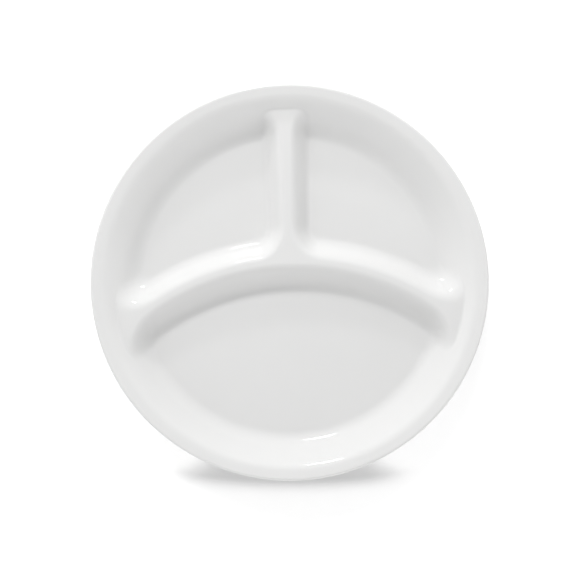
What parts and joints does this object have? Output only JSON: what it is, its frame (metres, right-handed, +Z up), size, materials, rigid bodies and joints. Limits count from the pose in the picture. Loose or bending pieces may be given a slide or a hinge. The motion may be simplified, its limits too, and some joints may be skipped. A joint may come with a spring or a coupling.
{
  "type": "divided plate",
  "caption": "Round plate of white opal glass with a raised rim and low rounded dividers that part a wide lower compartment from smaller upper ones.",
  "frame": {"origin": "middle of the plate's circle, in the plane of the flat undersides that it stands on", "axes": "+Z up out of the compartments, +Y along the straight divider from the curved divider towards the rim, +X to the right with the wide compartment nearest"},
  "size_m": [0.26, 0.26, 0.024],
  "materials": {
    "opal_glass": "fire-polished gloss, opaque white"
  },
  "bodies": {
    "root": {"plate": "opal_glass"}
  },
  "joints": []
}
